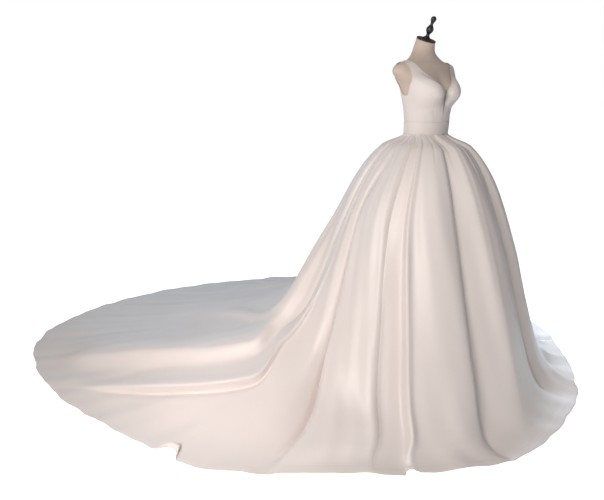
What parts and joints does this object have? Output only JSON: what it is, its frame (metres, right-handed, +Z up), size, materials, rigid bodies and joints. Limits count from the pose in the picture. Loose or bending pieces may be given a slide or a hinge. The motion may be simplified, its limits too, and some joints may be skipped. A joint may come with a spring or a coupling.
{
  "type": "wedding dress on dress form",
  "caption": "Sleeveless satin ball gown with a plunging neckline, pleated full skirt and long swept train, worn by a limbless dress form on a pole stand.",
  "frame": {"origin": "on the floor under the pole, at the centre of the stand base's underside", "axes": "+Z up, -Y the way the gown faces, +X the gown's left side; the train is swept back and to the right"},
  "size_m": [2.5544, 2.2108, 1.7096],
  "materials": {
    "satin": "satin",
    "form_cover": "matte",
    "black_finish": "satin",
    "steel": "satin"
  },
  "bodies": {
    "root": {"bodice_front_right": "satin", "bodice_front_left": "satin", "bodice_back_right": "satin", "bodice_back_left": "satin", "waistband_front": "satin", "waistband_back_left": "satin", "waistband_back_right": "satin", "skirt_front": "satin", "skirt_side_right": "satin", "skirt_back_right": "satin", "skirt_back_left": "satin", "skirt_side_left": "satin", "form_torso": "form_cover", "form_neck_cap": "black_finish", "form_finial": "black_finish", "form_pole": "steel", "form_base": "steel", "form_socket": "steel"}
  },
  "joints": []
}
